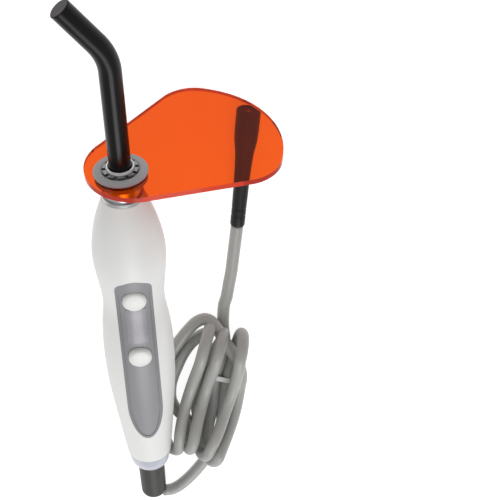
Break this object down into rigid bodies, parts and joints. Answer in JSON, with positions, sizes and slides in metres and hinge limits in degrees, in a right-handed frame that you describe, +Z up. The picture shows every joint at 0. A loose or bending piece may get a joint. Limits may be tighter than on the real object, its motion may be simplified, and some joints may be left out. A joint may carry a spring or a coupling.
{
  "type": "dental curing light",
  "caption": "Corded curing light: a contoured white handpiece with a black bent light guide and an orange eye shield, resting on the shield beside its bundled lead.",
  "frame": {"origin": "centre of the footprint of the handpiece, guide and shield, at the height of the table they rest on", "axes": "+Z up, +Y from the tail of the handpiece towards the tip of the light guide, +X towards the side that the shield reaches out to"},
  "size_m": [0.0758, 0.2416, 0.0729],
  "materials": {
    "white_shell": "smooth moulded, slightly satin",
    "grey_panel": "smooth satin",
    "display_lens": "clear window, faintly tinted",
    "display": "reflective segment display, blank",
    "button_white": "smooth dome",
    "plunger": "matt",
    "switch_steel": "stamped",
    "board": "solder mask",
    "chip_black": "matt moulded",
    "wire": "insulated wire",
    "screw_steel": "zinc plated",
    "nose_metal": "fine turned",
    "nose_ring": "polished",
    "copper": "machined copper alloy",
    "led_board": "white coated",
    "led": "emitter under a clear dome",
    "lens": "clear",
    "end_cap": "translucent, faintly blue",
    "relief_rubber": "matt",
    "guide_glass": "polished ends",
    "guide_black": "glossy black",
    "ferrule_steel": "polished",
    "rim_bright": "polished lip",
    "o_ring": "matt",
    "shield_orange": "clear orange sheet, polished",
    "grommet_rubber": "matt",
    "cord_grey": "smooth satin jacket",
    "tie_white": "flat band",
    "connector_black": "moulded",
    "contact_metal": "plated"
  },
  "bodies": {
    "handle": {"front_shell": "white_shell", "rear_shell": "white_shell", "control_panel": "grey_panel", "display_window": "display_lens", "display_module": "display", "button_switches": "switch_steel", "main_board": "board", "board_parts": "chip_black", "board_wires": "wire", "buzzer": "chip_black", "shell_screws": "screw_steel", "nose_socket": "nose_metal", "nose_ring": "nose_ring", "heat_spreader": "copper", "led_board": "led_board", "led_emitter": "led", "collimator_lens": "lens", "end_cap": "end_cap", "strain_relief": "relief_rubber", "lead_cord": "cord_grey", "hank_low": "cord_grey", "hank_high": "cord_grey", "twist_tie": "tie_white", "connector_cord": "cord_grey", "connector_body": "connector_black", "connector_barrel": "contact_metal", "connector_pin": "contact_metal"},
    "mode_key": {"mode_button": "button_white", "mode_plunger": "plunger"},
    "power_key": {"power_button": "button_white", "power_plunger": "plunger"},
    "seals": {"guide_o_rings": "o_ring"},
    "guide": {"guide_rod": "guide_glass", "guide_sleeve": "guide_black", "guide_ferrule": "ferrule_steel", "ferrule_rim": "rim_bright"},
    "shield": {"shield_plate": "shield_orange", "shield_grommet": "grommet_rubber"}
  },
  "joints": [
    {"name": "mode_press", "type": "slide", "parent": "handle", "child": "mode_key", "axis": [-0.1219, 0.2544, -0.9594], "range_m": [0, 0.0006], "stiffness_N_per_m": 3000},
    {"name": "power_press", "type": "slide", "parent": "handle", "child": "power_key", "axis": [-0.1219, 0.2544, -0.9594], "range_m": [0, 0.0006], "stiffness_N_per_m": 3000},
    {"name": "guide_pull", "type": "slide", "parent": "handle", "child": "seals", "axis": [0, 0.9666, 0.2563], "range_m": [0, 0.018]},
    {"name": "guide_turn", "type": "hinge", "parent": "seals", "child": "guide", "pos_m": [-0.02055, 0.0512, 0.04978], "axis": [0, -0.9666, -0.2563], "continuous": true},
    {"name": "shield_turn", "type": "hinge", "parent": "guide", "child": "shield", "pos_m": [-0.02055, 0.0512, 0.04978], "axis": [0, -0.9666, -0.2563], "continuous": true}
  ]
}
